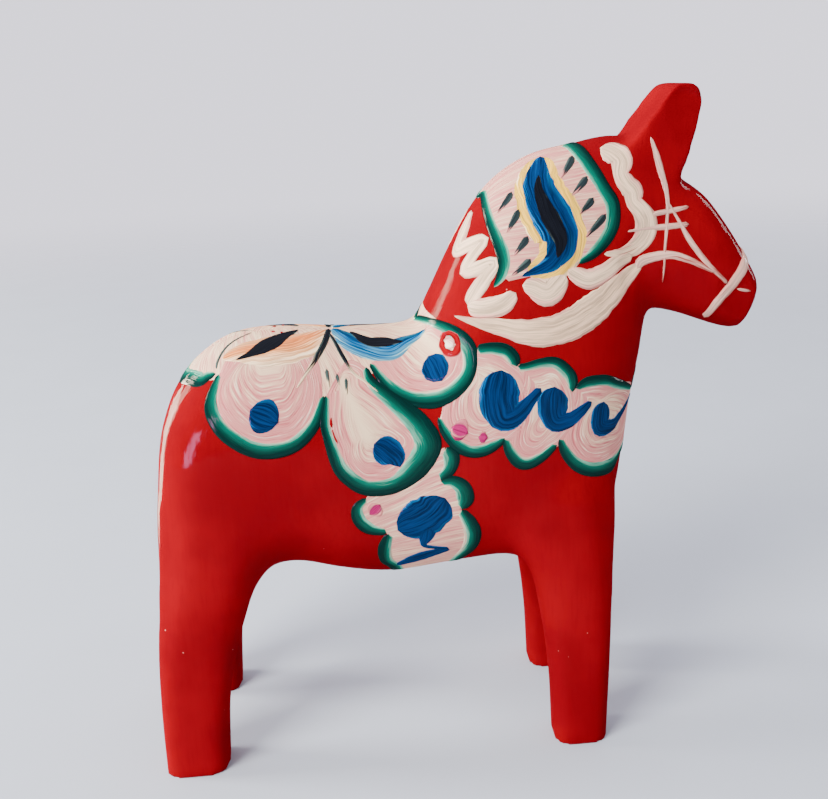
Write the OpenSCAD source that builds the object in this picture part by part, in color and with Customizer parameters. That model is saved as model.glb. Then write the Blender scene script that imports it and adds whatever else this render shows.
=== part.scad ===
// Dala horse: one carved pine horse, painted red, with folk-painted decoration lying on it in thin films.
// +X is where the nose points, +Y is the horse's left, +Z is up. The soles stand on z = 0.

/* [Horse] */
// Height from the soles to the tip of the ears
horse_h = 130; // [100:1:180]
// Width across the haunches
haunch_w = 40; // [37:0.5:42]
// Width of the neck where it meets the head
neck_w = 23; // [20:0.5:26]
// Width of the head across the cheeks
head_w = 20; // [16:0.5:22]
// Width of the muzzle
muzzle_w = 14; // [11:0.5:16]
// Width of the ear block, side to side
ear_w = 15; // [12:0.5:17]

/* [Legs] */
// Distance between the middles of the left and the right foot
foot_spacing = 31; // [28:0.5:33]
// Length of a hind foot, front to back
hind_foot = 12; // [10:0.5:13]
// Length of a front foot, front to back
front_foot = 11; // [9:0.5:12]
// Width of a foot, side to side
foot_w = 10.5; // [9:0.5:11]

/* [Paint] */
// Thickness of one coat of decoration paint
coat = 0.2; // [0.15:0.05:0.3]
// Width of the green line round the petals and bands
green_w = 2.2; // [1.5:0.1:3]

/* [Hidden] */

design_h = 130;
ring_sides = 36;
leg_sides = 20;

// A closed ring of points through a top and a bottom point of the side view, with a half width.
// A squareness of 2 is an ellipse and a higher one is boxier, like knife-cut wood.
function power(v, n) = sign(v) * pow(abs(v), 2 / n);
function ring(top, bottom, half_w, n, grow) = [
    let (mid = (top + bottom) / 2, up = (top - bottom) / 2, reach = norm(up) + grow)
    for (i = [0 : ring_sides - 1])
    let (a = 360 * i / ring_sides, u = up * reach / norm(up) * power(cos(a), n))
    [mid[0] + u[0], (half_w + grow) * power(sin(a), n), mid[1] + u[1]]];

// A closed skin over a row of rings that all have the same number of points
module skin(rings) {
    count = len(rings[0]);
    last = (len(rings) - 1) * count;
    ends = [[for (i = [0 : count - 1]) count - 1 - i], [for (i = [0 : count - 1]) last + i]];
    strips = [for (r = [0 : count : last - count], i = [0 : count - 1])
        let (j = (i + 1) % count)
        each [[r + i, r + count + j, r + count + i], [r + i, r + j, r + count + j]]];
    polyhedron(points = [for (one = rings, point = one) point], faces = concat(ends, strips));
}

// Trunk, neck and head: [top point, bottom point, half width, squareness]
haunch = haunch_w / 2;
trunk = [
    [[-57, 71], [-59.8, 47], haunch * 0.55, 2.4],
    [[-54.5, 76.5], [-58.8, 41.5], haunch * 0.8, 2.4],
    [[-50, 81.8], [-53, 39], haunch * 0.94, 2.5],
    [[-43, 85.9], [-46, 39.8], haunch, 2.5],
    [[-33, 87], [-34, 39.6], haunch, 2.4],
    [[-22, 86.3], [-24, 36.6], haunch * 0.98, 2.3],
    [[-12, 86], [-14, 35], haunch * 0.97, 2.3],
    [[-6, 87], [-3, 36], haunch * 0.98, 2.3],
    [[-3, 92], [9, 37], haunch, 2.3],
    [[0.5, 99], [22, 38.5], haunch * 0.99, 2.3],
    [[4, 105.5], [32.5, 46], haunch * 0.93, 2.2],
    [[7.5, 110.7], [35.4, 58], haunch * 0.86, 2.2],
    [[12, 115], [36.8, 68], haunch * 0.77, 2.2],
    [[18, 118.2], [38.8, 77], haunch * 0.68, 2.2],
    [[25, 119.6], [40.3, 86], neck_w / 2, 2.3],
    [[36, 120.6], [42.5, 86.6], head_w * 0.53, 2.5],
    [[46, 113], [46.5, 85.6], head_w / 2, 2.7],
    [[51, 109.5], [50, 84.3], head_w * 0.485, 2.8],
    [[55.8, 103.4], [53, 83.1], head_w * 0.45, 2.8],
    [[60, 96.8], [56, 82.1], muzzle_w * 0.57, 2.8],
    [[62.7, 92], [58.6, 81.6], muzzle_w / 2, 2.8]];

module trunk_neck_head(grow) {
    skin([for (s = trunk) ring(s[0], s[1], s[2], s[3], grow)]);
}

// One leg: [middle x, distance from the middle plane, half length, half width, height], sole first
foot_y = foot_spacing / 2;
hind_leg = [
    [-56, foot_y, hind_foot / 2, foot_w / 2, 0],
    [-55.1, foot_y - 0.2, hind_foot / 2 + 0.5, foot_w / 2 + 0.1, 15],
    [-53.3, foot_y - 0.8, hind_foot / 2 + 1.6, foot_w / 2 + 0.5, 27],
    [-51.9, foot_y - 1.2, hind_foot / 2 + 2.3, foot_w / 2 + 0.9, 33],
    [-50.7, foot_y - 1.7, hind_foot / 2 + 3.2, foot_w / 2 + 1.4, 38],
    [-49, foot_y - 2.7, hind_foot / 2 + 4.5, foot_w / 2 + 2.2, 42],
    [-47.2, foot_y - 4, hind_foot / 2 + 6, foot_w / 2 + 3.2, 47],
    [-47, foot_y - 5.2, hind_foot / 2 + 5.6, foot_w / 2 + 3.6, 56],
    [-46, foot_y - 7, hind_foot / 2 + 2.6, foot_w / 2 + 1, 66]];
front_leg = [
    [23.3, foot_y, front_foot / 2, foot_w / 2, 0],
    [23.4, foot_y - 0.1, front_foot / 2 + 0.6, foot_w / 2 + 0.1, 15],
    [23, foot_y - 0.6, front_foot / 2 + 1.7, foot_w / 2 + 0.4, 28],
    [22.3, foot_y - 1.8, front_foot / 2 + 3.2, foot_w / 2 + 1.5, 38],
    [20.1, foot_y - 4, front_foot / 2 + 6.2, foot_w / 2 + 3.4, 47],
    [19.3, foot_y - 5.2, front_foot / 2 + 6.8, foot_w / 2 + 3.8, 55],
    [18.8, foot_y - 7, front_foot / 2 + 6, foot_w / 2 + 1, 65]];
leg_squareness = 2.6;

function leg_ring(s, side, grow) = [
    for (i = [0 : leg_sides - 1])
    let (a = 360 * i / leg_sides)
    [s[0] + (s[2] + grow) * power(cos(a), leg_squareness),
     side * s[1] + (s[3] + grow) * power(sin(a), leg_squareness), s[4]]];

module leg(stations, side, grow) {
    for (i = [1 : len(stations) - 1])
        hull() skin([leg_ring(stations[i - 1], side, grow), leg_ring(stations[i], side, grow)]);
}

// Both ears are cut from one upright wedge, bevelled along its edges
ear_bevel = 1.5;
ear_outline = [[33.5, 117], [43.8, 129.2], [45.2, 130], [47.8, 130], [49.3, 128.8], [49.7, 126.5],
    [48.8, 122.5], [45.8, 113], [44.8, 109]];

module ears(grow) {
    hull() {
        rotate([90, 0, 0]) linear_extrude(ear_w - 2 * ear_bevel + 2 * grow, center = true)
            offset(delta = grow) polygon(ear_outline);
        rotate([90, 0, 0]) linear_extrude(ear_w + 2 * grow, center = true)
            offset(delta = grow - ear_bevel) polygon(ear_outline);
    }
}

module horse(grow) {
    trunk_neck_head(grow);
    for (side = [-1, 1]) {
        leg(hind_leg, side, grow);
        leg(front_leg, side, grow);
    }
    ears(grow);
}

// Paint: each coat is a thin skin of the horse, cut to an outline drawn in the side view, [x, z].
// Every motif is painted the same on the left and on the right side.
cut_w = 60;
seam = 0.05;
back_gap = 1.5;

// A motif may keep clear of the middle plane, so that the two sides stay apart on the back.
module film(coat_number, clear = 0) {
    scale(horse_h / design_h) intersection() {
        difference() {
            horse(coat_number * coat);
            horse((coat_number - 1) * coat);
        }
        rotate([90, 0, 0]) difference() {
            linear_extrude(cut_w, center = true) children();
            if (clear > 0) cube([2 * horse_h, 2 * horse_h, 2 * clear], center = true);
        }
    }
}

// A brush stroke through points [x, z, half width]
module stroke(points) {
    for (i = [1 : len(points) - 1])
        hull() for (p = [points[i - 1], points[i]]) translate([p[0], p[1]]) circle(p[2], $fn = 8);
}

// A round or oval touch of the brush
module dab(x, z, half_l, half_h, tilt = 0) {
    translate([x, z]) rotate(tilt) resize([2 * half_l, 2 * half_h]) circle(10, $fn = 12);
}

// Mane panel, across the top of the neck
module mane_panel() {
    polygon([[24.3, 123.5], [27.6, 117], [31, 111.5], [32, 107.3], [30.6, 103], [27.4, 100.2], [23, 98.6],
        [15, 97], [10.2, 97], [9.4, 99.5], [9.4, 103], [8.4, 108], [7.5, 112.5], [12, 122]]);
}
mane_front_edge = [[24.6, 122, 1.2], [27.6, 117, 1.2], [30.6, 112, 1.3], [31.7, 107.5, 1.3],
    [30.4, 103.1, 1.2], [27.4, 100.4, 1], [24.6, 99.1, 0.7]];
mane_rear_edge = [[8, 112, 0.8], [8.6, 106, 0.9], [10, 101.5, 1], [9.7, 98, 0.9], [8.5, 95.9, 0.5]];
blue_leaf_line = [[19.3, 117.6, 1], [17.9, 114, 3], [18.6, 110, 3.9], [20.2, 106.5, 4.2], [21.2, 103.3, 3.5],
    [18.3, 99.2, 1.4], [14.2, 97.8, 0.3]];
black_leaf_line = [[18.2, 114.7, 0.4], [17.9, 112, 1.1], [18.9, 108.5, 1.7], [20.5, 105, 1.8],
    [20.6, 101.2, 0.5]];
dash_starts = [[12.6, 112], [13.1, 108.8], [14.6, 105.2], [14.8, 101.8],
    [25.2, 117.8], [27, 114.4], [28.3, 110.6], [30, 107.6]];
dash_slant = [-2.4, -3];

module mane_panel_ground() color("mistyrose") film(1) difference() {
    mane_panel();
    stroke(mane_front_edge);
    stroke(mane_rear_edge);
}
module mane_front_border() color("darkgreen") film(1) stroke(mane_front_edge);
module mane_rear_border() color("darkgreen") film(1) stroke(mane_rear_edge);
module mane_yellow_leaf() color("khaki") film(2) difference() {
    stroke([for (p = blue_leaf_line) [p[0], p[1], p[2] + 1]]);
    stroke(blue_leaf_line);
}
module mane_blue_leaf() color("steelblue") film(2) stroke(blue_leaf_line);
module mane_black_leaf() color("darkslategray") film(3) stroke(black_leaf_line);
module mane_dashes() color("dimgray") film(2) for (d = dash_starts)
    stroke([[d[0], d[1], 0.5], [d[0] + dash_slant[0], d[1] + dash_slant[1], 0.3]]);

// Garlands round the mane panel, and the crescent under them
module neck_garland_front() color("linen") film(1)
    stroke([[31.6, 118.9, 2], [33.6, 117.6, 1.9], [33, 114.6, 1.4], [35.6, 111.8, 1.6], [35.3, 109.4, 1.2],
        [37.9, 106, 1.5], [37.8, 102.8, 1.5], [35.8, 100.8, 1.2], [32.6, 99.9, 0.5]]);
module neck_garland_lower() color("linen") film(1) {
    stroke([[13.4, 95.3, 0.6], [15.2, 94.6, 1.3], [18, 94.2, 2], [20.4, 95.3, 1.2], [21.4, 96.2, 0.5]]);
    stroke([[23.2, 96.6, 0.6], [26.1, 95.8, 1.4], [29.2, 96.5, 1.3], [32.2, 97.7, 1], [34.6, 98.4, 0.5]]);
}
module neck_garland_rear() color("linen") film(1)
    stroke([[6, 107.8, 0.7], [3.4, 102.6, 1.6], [6.8, 103.4, 0.8], [4.2, 98.6, 1.1], [7.5, 99.4, 0.8],
        [4.8, 94.8, 1], [3.6, 92.3, 0.9], [8.4, 92, 1.3], [11.8, 94, 0.8]]);
module neck_crescent() color("linen") film(1)
    stroke([[1.4, 90.4, 0.3], [6, 88.8, 1.1], [15.4, 87, 2.6], [21.6, 87.7, 3], [27, 90.2, 2.9],
        [31.6, 93.3, 2.1], [36.8, 97, 0.7]]);

// Bridle: thin white lines over the head
module bridle_cheek_line() color("linen") film(1)
    stroke([[39.4, 120.9, 0.3], [40.9, 116.6, 0.6], [42.2, 110, 0.6], [42.2, 103.4, 0.4], [41.7, 94, 0.3]]);
module bridle_brow_lines() color("linen") film(1) {
    stroke([[40.2, 106.7, 0.6], [46.5, 107.3, 0.4]]);
    stroke([[40.2, 104, 0.6], [46.5, 104.2, 0.4]]);
}
module bridle_face_line() color("linen") film(1)
    stroke([[43.2, 108, 0.3], [46, 102.6, 0.6], [50.3, 96.5, 0.5], [54.6, 92.4, 0.4]]);
module bridle_jaw_line() color("linen") film(1)
    stroke([[37.2, 97.9, 0.9], [42.2, 98.7, 0.8], [46.8, 97.4, 0.6], [51.6, 94.8, 0.3]]);
module noseband() color("linen") film(1)
    stroke([[59.8, 97.4, 1.1], [56.8, 93, 1], [53.6, 89.3, 0.8], [51.2, 85, 0.7], [50.6, 82, 0.6]]);

// Saddle: petals that hang down from the back
module hind_petal() dab(-36, 77, 11.2, 10.4);
module middle_petal() hull() {
    dab(-14.3, 67.6, 10.9, 10.2);
    dab(-20.5, 79.5, 4, 3);
}
module fore_petal() hull() {
    dab(-5.2, 82, 9.8, 8.6);
    dab(-6, 90, 6, 3);
}
module back_strip() polygon([[-58, 79], [-46, 80], [-30, 80], [-20, 77], [-4, 84], [-5.5, 95], [-58, 95]]);
module saddle() {
    hind_petal();
    middle_petal();
    fore_petal();
    back_strip();
}
module edge_of(width) difference() {
    children();
    offset(delta = -width) children();
}
module hind_petal_line() difference() {
    edge_of(green_w) hind_petal();
    translate([-26, 78.5]) square([60, 60], center = false);
    translate([-80, 79]) square([80, 60]);
    middle_petal();
}
module middle_petal_line() difference() {
    edge_of(green_w) middle_petal();
    polygon([[-40, 76], [-25, 76], [-19, 81], [-10, 75], [-10, 95], [-40, 95]]);
}
module fore_petal_line() difference() {
    edge_of(green_w) fore_petal();
    middle_petal();
    polygon([[-11, 74], [-30, 74], [-30, 99], [-6.5, 99], [-6.5, 80]]);
}
module rump_line() intersection() {
    back_strip();
    polygon([[-60, 76], [-46, 78], [-46, 80.8], [-52, 80.5], [-60, 81]]);
}
module saddle_ground() color("mistyrose") film(1) offset(delta = -seam) difference() {
    saddle();
    rump_line();
    hind_petal_line();
    middle_petal_line();
    fore_petal_line();
}
module rump_border() color("seagreen") film(1) rump_line();
module hind_petal_border() color("darkgreen") film(1) hind_petal_line();
module middle_petal_border() color("darkgreen") film(1) middle_petal_line();
module fore_petal_border() color("darkgreen") film(1) fore_petal_line();

module peach_leaf() color("peachpuff") film(2, back_gap) difference() {
    stroke([[-45, 83.4, 0.6], [-38, 84.3, 2.6], [-31, 85, 3], [-25.5, 86, 1.4]]);
    peach_heart();
}
module peach_heart() stroke([[-41, 84.2, 0.3], [-36, 85.4, 1], [-30.8, 87, 0.3]]);
module peach_leaf_heart() color("darkslategray") film(2, back_gap) peach_heart();
blue_back_line = [[-22.8, 86.2, 0.8], [-18, 85.2, 1.6], [-12.5, 84.6, 1.7], [-8, 85.4, 1.2], [-5.2, 86.8, 0.4]];
module blue_back_heart() stroke([[-19, 86.4, 0.3], [-13.5, 85.2, 0.8], [-9, 85.8, 0.3]]);
module blue_leaf() color("steelblue") film(2, back_gap) difference() {
    stroke(blue_back_line);
    blue_back_heart();
}
module blue_leaf_heart() color("darkslategray") film(2, back_gap) blue_back_heart();
module saddle_fork_lines() color("darkslategray") film(2) {
    stroke([[-24.4, 83.5, 0.6], [-26.6, 81.6, 0.5], [-30.3, 78.7, 0.25]]);
    stroke([[-23.2, 83, 0.4], [-20, 80.4, 0.5], [-15, 77.2, 0.25]]);
}
module saddle_dashes() color("dimgray") film(2) for (i = [0 : 2])
    stroke([[-23.8 + 1.7 * i, 80.8 - 0.7 * i, 0.4], [-23.6 + 1.6 * i, 78.4 - 0.7 * i, 0.25]]);
module saddle_blue_dots() color("steelblue") film(2) {
    dab(-35.9, 74.7, 3.4, 3, -30);
    dab(-13.9, 66.5, 3, 2.8, -30);
    dab(-3.3, 80.9, 2.3, 2.8);
}
module red_flower() color("crimson") film(2) difference() {
    dab(-0.6, 85.8, 1.8, 1.9);
    dab(-0.6, 85.8, 0.9, 1);
}

// Breast band: a row of lobes round the chest
band_lobes = [[1.8, 71, 6.6, 8], [8, 75.5, 7, 10.5], [17.5, 71.5, 7, 10.5], [27.5, 67.5, 6.6, 10],
    [36, 65, 5.4, 9.6]];
module breast_band() difference() {
    for (b = band_lobes) dab(b[0], b[1], b[2], b[3]);
    saddle();
}
module breast_band_inside() offset(delta = -green_w * 0.7) breast_band();
module breast_band_ground() color("mistyrose") film(1) breast_band_inside();
module breast_band_border() color("darkgreen") film(1) difference() {
    breast_band();
    breast_band_inside();
}
module breast_band_wave() color("steelblue") film(2) {
    for (c = [[8.2, 76.4], [18.4, 72.9], [28.6, 69]]) {
        dab(c[0], c[1], 3.2, 3.6);
        stroke([[c[0] - 1, c[1] - 2.6, 1.4], [c[0] + 3, c[1] - 2.6, 1], [c[0] + 6.6, c[1] - 0.2, 0.5]]);
    }
}
module breast_band_pink_dots() color("orchid") film(2) {
    dab(0.2, 69.3, 2.2, 1.9);
    dab(4.9, 67.6, 1.1, 1);
}

// Girth: lobes under the middle petal, down to the belly
girth_lobes = [[-3, 62.5, 3.6, 5], [-17.5, 52.6, 4.6, 4.4], [-1.8, 57, 5.2, 3.8], [-3.5, 50, 6.6, 7],
    [-10, 45, 6.6, 8], [-9.5, 54, 8, 6]];
module girth() difference() {
    for (g = girth_lobes) dab(g[0], g[1], g[2], g[3]);
    translate([-20, 24]) square([40, 14]);
    saddle();
    breast_band();
}
module girth_inside() offset(delta = -green_w * 0.7) girth();
module girth_ground() color("mistyrose") film(1) girth_inside();
module girth_border() color("darkgreen") film(1) difference() {
    girth();
    girth_inside();
}
module girth_blue_leaves() color("steelblue") film(2) {
    stroke([[-12.6, 51, 1], [-9, 51.5, 3], [-4.6, 52.8, 2.8], [-8, 47.6, 1.6], [-7.6, 44.4, 0.4]]);
    stroke([[-10, 41, 0.5], [-7, 41.6, 0.9], [-3, 43, 0.5]]);
}
module girth_pink_dots() color("orchid") film(2) dab(-17, 53.4, 1.6, 1.6);

module pine_carving() color("firebrick") scale(horse_h / design_h) horse(0);

pine_carving();
mane_panel_ground();
mane_front_border();
mane_rear_border();
mane_yellow_leaf();
mane_blue_leaf();
mane_black_leaf();
mane_dashes();
neck_garland_front();
neck_garland_lower();
neck_garland_rear();
neck_crescent();
bridle_cheek_line();
bridle_brow_lines();
bridle_face_line();
bridle_jaw_line();
noseband();
saddle_ground();
rump_border();
hind_petal_border();
middle_petal_border();
fore_petal_border();
peach_leaf();
peach_leaf_heart();
blue_leaf();
blue_leaf_heart();
saddle_fork_lines();
saddle_dashes();
saddle_blue_dots();
red_flower();
breast_band_ground();
breast_band_border();
breast_band_wave();
breast_band_pink_dots();
girth_ground();
girth_border();
girth_blue_leaves();
girth_pink_dots();
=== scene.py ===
"""Dala horse: carved pine under red lacquer, with folk painting in raised brush strokes."""
import math
import random

import bmesh
import bpy
import numpy as np
from mathutils import Matrix, Vector
from mathutils.bvhtree import BVHTree


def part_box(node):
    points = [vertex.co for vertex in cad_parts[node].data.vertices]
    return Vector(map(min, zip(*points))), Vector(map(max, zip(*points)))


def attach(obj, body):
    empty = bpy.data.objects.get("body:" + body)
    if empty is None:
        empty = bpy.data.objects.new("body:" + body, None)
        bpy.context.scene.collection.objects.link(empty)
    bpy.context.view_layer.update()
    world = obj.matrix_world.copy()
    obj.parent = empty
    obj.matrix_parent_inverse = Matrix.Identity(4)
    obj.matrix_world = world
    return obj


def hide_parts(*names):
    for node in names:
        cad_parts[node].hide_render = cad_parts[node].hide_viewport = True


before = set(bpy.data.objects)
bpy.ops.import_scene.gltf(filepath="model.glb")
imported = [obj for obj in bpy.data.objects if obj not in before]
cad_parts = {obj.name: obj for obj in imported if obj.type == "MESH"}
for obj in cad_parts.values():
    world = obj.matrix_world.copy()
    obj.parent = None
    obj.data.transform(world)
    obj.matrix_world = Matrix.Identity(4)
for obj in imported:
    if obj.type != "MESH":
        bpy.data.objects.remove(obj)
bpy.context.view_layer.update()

carving_lo, carving_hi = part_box("pine_carving")

# One design millimetre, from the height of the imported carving: the horse is drawn 130 mm tall.
DESIGN_HEIGHT = 130.0
MM = (carving_hi.z - carving_lo.z) / DESIGN_HEIGHT
RIGHT, LEFT = -1, 1
SIDES = ((RIGHT, "right"), (LEFT, "left"))


# ---- colours

def srgb(red, green, blue):
    """A screen colour, 0 to 255, as the linear colour that shaders take."""
    def linear(value):
        value /= 255
        return value / 12.92 if value <= 0.04045 else ((value + 0.055) / 1.055) ** 2.4
    return (linear(red), linear(green), linear(blue), 1.0)


RED = srgb(131, 0, 12)
DEEP_RED = srgb(102, 0, 10)
CREAM = srgb(240, 208, 166)
PINK = srgb(210, 132, 124)
ROSE = srgb(180, 78, 84)
IVORY = srgb(250, 232, 206)
WHITE = srgb(222, 188, 154)
ROSE_WHITE = srgb(214, 150, 134)
GREEN_DARK = srgb(0, 34, 30)
GREEN = srgb(0, 98, 78)
MINT = srgb(110, 176, 146)
BLUE = srgb(0, 36, 74)
SKY = srgb(14, 84, 132)
BLACK = srgb(14, 16, 22)
GREY = srgb(60, 74, 70)
YELLOW = srgb(226, 176, 66)
PEACH = srgb(214, 116, 58)
ORCHID = srgb(150, 26, 84)
SCARLET = srgb(128, 0, 12)
DUST = srgb(225, 150, 130)


# ---- objects and meshes

def linked(name, data):
    """A new object in the scene."""
    made = bpy.data.objects.new(name, data)
    bpy.context.scene.collection.objects.link(made)
    return made


def mesh_object(name, bm):
    """A new object in the scene with the faces of bm, which is then freed."""
    mesh = bpy.data.meshes.new(name)
    bm.to_mesh(mesh)
    bm.free()
    return linked(name, mesh)


def read(items, key, width, kind=float):
    """One row of so many numbers for each item of a mesh."""
    values = np.empty(len(items) * width, kind)
    items.foreach_get(key, values)
    return values.reshape(-1, width)


# ---- curves

# Steps from one row of a curve to the next, before the curve is divided evenly
CURVE_STEPS = 24


def catmull_rom(rows, steps):
    """A smooth curve through rows of numbers, with so many steps from each row to the next."""
    rows = [np.array(row, float) for row in rows]
    padded = [2 * rows[0] - rows[1]] + rows + [2 * rows[-1] - rows[-2]]
    curve = []
    for a, b, c, d in zip(padded, padded[1:], padded[2:], padded[3:]):
        for k in range(steps):
            t = k / steps
            curve.append(0.5 * (2 * b + (c - a) * t + (2 * a - 5 * b + 4 * c - d) * t * t
                                + (3 * b - a - 3 * c + d) * t ** 3))
    curve.append(rows[-1])
    return curve


def evenly(rows, spacing):
    """The smooth curve through rows, as points an even distance apart; x, y, z come first."""
    dense = np.array(catmull_rom(rows, CURVE_STEPS))
    gaps = np.linalg.norm(np.diff(dense[:, :3], axis=0), axis=1)
    along = np.concatenate([[0], np.cumsum(gaps)])
    count = max(2, int(round(along[-1] / spacing)))
    wanted = np.linspace(0, along[-1], count + 1)
    columns = [np.interp(wanted, along, dense[:, k]) for k in range(dense.shape[1])]
    return np.stack(columns, axis=1), wanted


# ---- the carving

# Trunk, neck and head, from rump to muzzle: top x, top z, bottom x, bottom z, half width, squareness
TRUNK = [
    (-57, 71, -59.8, 47, 11, 2.3), (-54.5, 76.5, -58.8, 41.5, 16, 2.4), (-50, 81.8, -53, 39, 18.8, 2.5),
    (-43, 85.9, -46, 39.8, 20, 2.5), (-33, 87, -34, 39.6, 20, 2.4), (-22, 86.3, -24, 36.6, 19.6, 2.3),
    (-12, 86, -14, 35, 19.4, 2.3), (-6, 87, -3, 36, 19.6, 2.3), (-3, 92, 9, 37, 20, 2.3),
    (0.5, 99, 22, 38.5, 19.8, 2.3), (4, 105.5, 32.5, 46, 18.6, 2.2), (7.5, 110.7, 35.4, 58, 17.2, 2.2),
    (12, 115, 36.8, 68, 15.4, 2.2), (18, 118.2, 38.8, 77, 13.6, 2.2), (25, 119.6, 40.3, 86, 11.5, 2.3),
    (36, 120.6, 42.5, 86.6, 10.6, 2.5), (46, 113, 46.5, 85.6, 10, 2.7), (51, 109.5, 50, 84.3, 9.7, 2.8),
    (55.8, 103.4, 53, 83.1, 9, 2.8), (60, 96.8, 56, 82.1, 8, 2.8), (62.7, 92, 58.6, 81.6, 7, 2.8),
]
# Legs, from the sole up: middle x, distance from the middle plane, half length, half width, height
HIND_LEG = [
    (-56, 15.5, 6.4, 5.25, 0), (-55.1, 15.3, 6.9, 5.35, 15), (-53.3, 14.7, 8, 5.75, 27),
    (-51.9, 14.3, 8.7, 6.1, 33), (-50.7, 13.8, 9.6, 6.6, 38), (-49, 12.8, 10.9, 7.4, 42),
    (-47.2, 11.5, 12.4, 8.45, 47), (-47, 10.3, 12, 8.85, 56), (-46, 8.5, 9, 6.25, 66),
]
FRONT_LEG = [
    (23.3, 15.5, 5.5, 5.25, 0), (23.4, 15.4, 6.1, 5.35, 15), (23, 14.9, 7.2, 5.65, 28),
    (22.3, 13.7, 8.7, 6.75, 38), (20.1, 11.5, 11.7, 8.65, 47), (19.3, 10.3, 12.3, 9.05, 55),
    (18.8, 8.5, 11.5, 6.25, 65),
]
# Side view of the ear block: x, z
EAR = [(32.4, 115.5), (43.8, 129.2), (45.2, 130), (47.8, 130), (49.3, 128.8), (49.7, 126.5), (48.8, 122.5),
       (45.8, 113), (44.8, 108)]
EAR_HALF_WIDTH = 7.5
RING_SIDES = 96
RING_STEPS = 6
VOXEL = 0.62
# How far the corners of a leg stand out; below which height, and over what length, it turns square
CORNER_REACH = 1.04
FOOT_TOP, FOOT_BLEND, FOOT_SQUARENESS = 36, 16, 3.4
# How often the wood is sanded all over, filled in and blended at the leg tops, and sanded once more
SANDINGS, FILLINGS, BLENDINGS, LAST_SANDINGS = 14, 160, 30, 3
# How far the paint lies from the mesh's flat faces towards a rounded surface
ROUNDING = 0.75


def power(value, squareness):
    return math.copysign(abs(value) ** (2 / squareness), value)


def trunk_ring(row):
    top, bottom = Vector((row[0], 0, row[1])), Vector((row[2], 0, row[3]))
    middle, up = (top + bottom) / 2, (top - bottom) / 2
    turns = (2 * math.pi * k / RING_SIDES for k in range(RING_SIDES))
    return [middle + up * power(math.cos(a), row[5])
            + Vector((0, row[4] * power(math.sin(a), row[5]), 0)) for a in turns]


def leg_ring(row, side):
    """An octagon, as a knife leaves it, that turns into a square with rounded corners near the sole."""
    corner = math.pi / 4
    low = min(max((FOOT_TOP - row[4]) / FOOT_BLEND, 0), 1)
    ring = []
    for k in range(RING_SIDES):
        a = 2 * math.pi * k / RING_SIDES
        reach = min(1 / math.cos((a + corner / 2) % corner - corner / 2), CORNER_REACH)
        bulk = abs(math.cos(a)) ** FOOT_SQUARENESS + abs(math.sin(a)) ** FOOT_SQUARENESS
        square = bulk ** (-1 / FOOT_SQUARENESS)
        reach += (square - reach) * low
        ring.append(Vector((row[0] + row[2] * reach * math.cos(a),
                            side * row[1] + row[3] * reach * math.sin(a), row[4])))
    return ring


def closed_skin(bm, rings, round_ends=0.0):
    """Skins a row of rings; with round_ends the two caps bulge by that much."""
    if round_ends:
        rings = [dome(rings[0], rings[1], round_ends, f) for f in (1, 0.6)] + rings
        rings = rings + [dome(rings[-1], rings[-2], round_ends, f) for f in (0.6, 1)]
    verts = [[bm.verts.new(p) for p in ring] for ring in rings]
    for a, b in zip(verts, verts[1:]):
        for k in range(len(a)):
            bm.faces.new((a[k], a[k - 1], b[k - 1], b[k]))
    bm.faces.new(verts[0])
    bm.faces.new(verts[-1][::-1])


def dome(ring, inner, bulge, share):
    """A smaller copy of a ring, moved outward, as one step of a rounded cap."""
    centre = sum(ring, Vector()) / len(ring)
    outward = (centre - sum(inner, Vector()) / len(inner)).normalized()
    scale = math.sqrt(max(0, 1 - share * share * 0.8))
    return [centre + (p - centre) * scale + outward * bulge * share for p in ring]


def rough_carving():
    """The overlapping solids of the horse, in design millimetres."""
    bm = bmesh.new()
    closed_skin(bm, [trunk_ring(row) for row in catmull_rom(TRUNK, RING_STEPS)], round_ends=0.7)
    for side in (RIGHT, LEFT):
        for leg in (HIND_LEG, FRONT_LEG):
            closed_skin(bm, [leg_ring(row, side) for row in catmull_rom(leg, RING_STEPS)])
    outlines = [[bm.verts.new((x, y, z)) for x, z in EAR] for y in (-EAR_HALF_WIDTH, EAR_HALF_WIDTH)]
    bm.faces.new(outlines[0][::-1])
    bm.faces.new(outlines[1])
    for k in range(len(EAR)):
        bm.faces.new((outlines[0][k - 1], outlines[0][k], outlines[1][k], outlines[1][k - 1]))
    bmesh.ops.recalc_face_normals(bm, faces=bm.faces)
    return bm


def neighbour_table(mesh):
    """Both ends of every edge: a point, and a neighbour of it."""
    edges = read(mesh.edges, "vertices", 2, int)
    return np.concatenate([edges[:, 0], edges[:, 1]]), np.concatenate([edges[:, 1], edges[:, 0]])


def summed(places, values, count):
    return np.stack([np.bincount(places, values[:, k], count) for k in range(3)], axis=1)


def relax(points, table, amount):
    """Moves each point towards the middle of its neighbours, by an amount for each point."""
    here, there = table
    middle = summed(here, points[there], len(points)) / np.bincount(here)[:, None]
    return points + (middle - points) * amount[:, None]


def fill(points, table, corners, amount):
    """Relaxes hollows only, where the knife leaves the wood, and so rounds out a crease."""
    a, b, c, d = (points[corners[:, k]] for k in range(4))
    facing = np.repeat(np.cross(c - a, d - b), 4, axis=0)
    outward = summed(corners.ravel(), facing, len(points))
    outward /= np.linalg.norm(outward, axis=1)[:, None]
    rise = ((relax(points, table, amount) - points) * outward).sum(axis=1)
    return points + np.clip(rise, 0, None)[:, None] * outward


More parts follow.
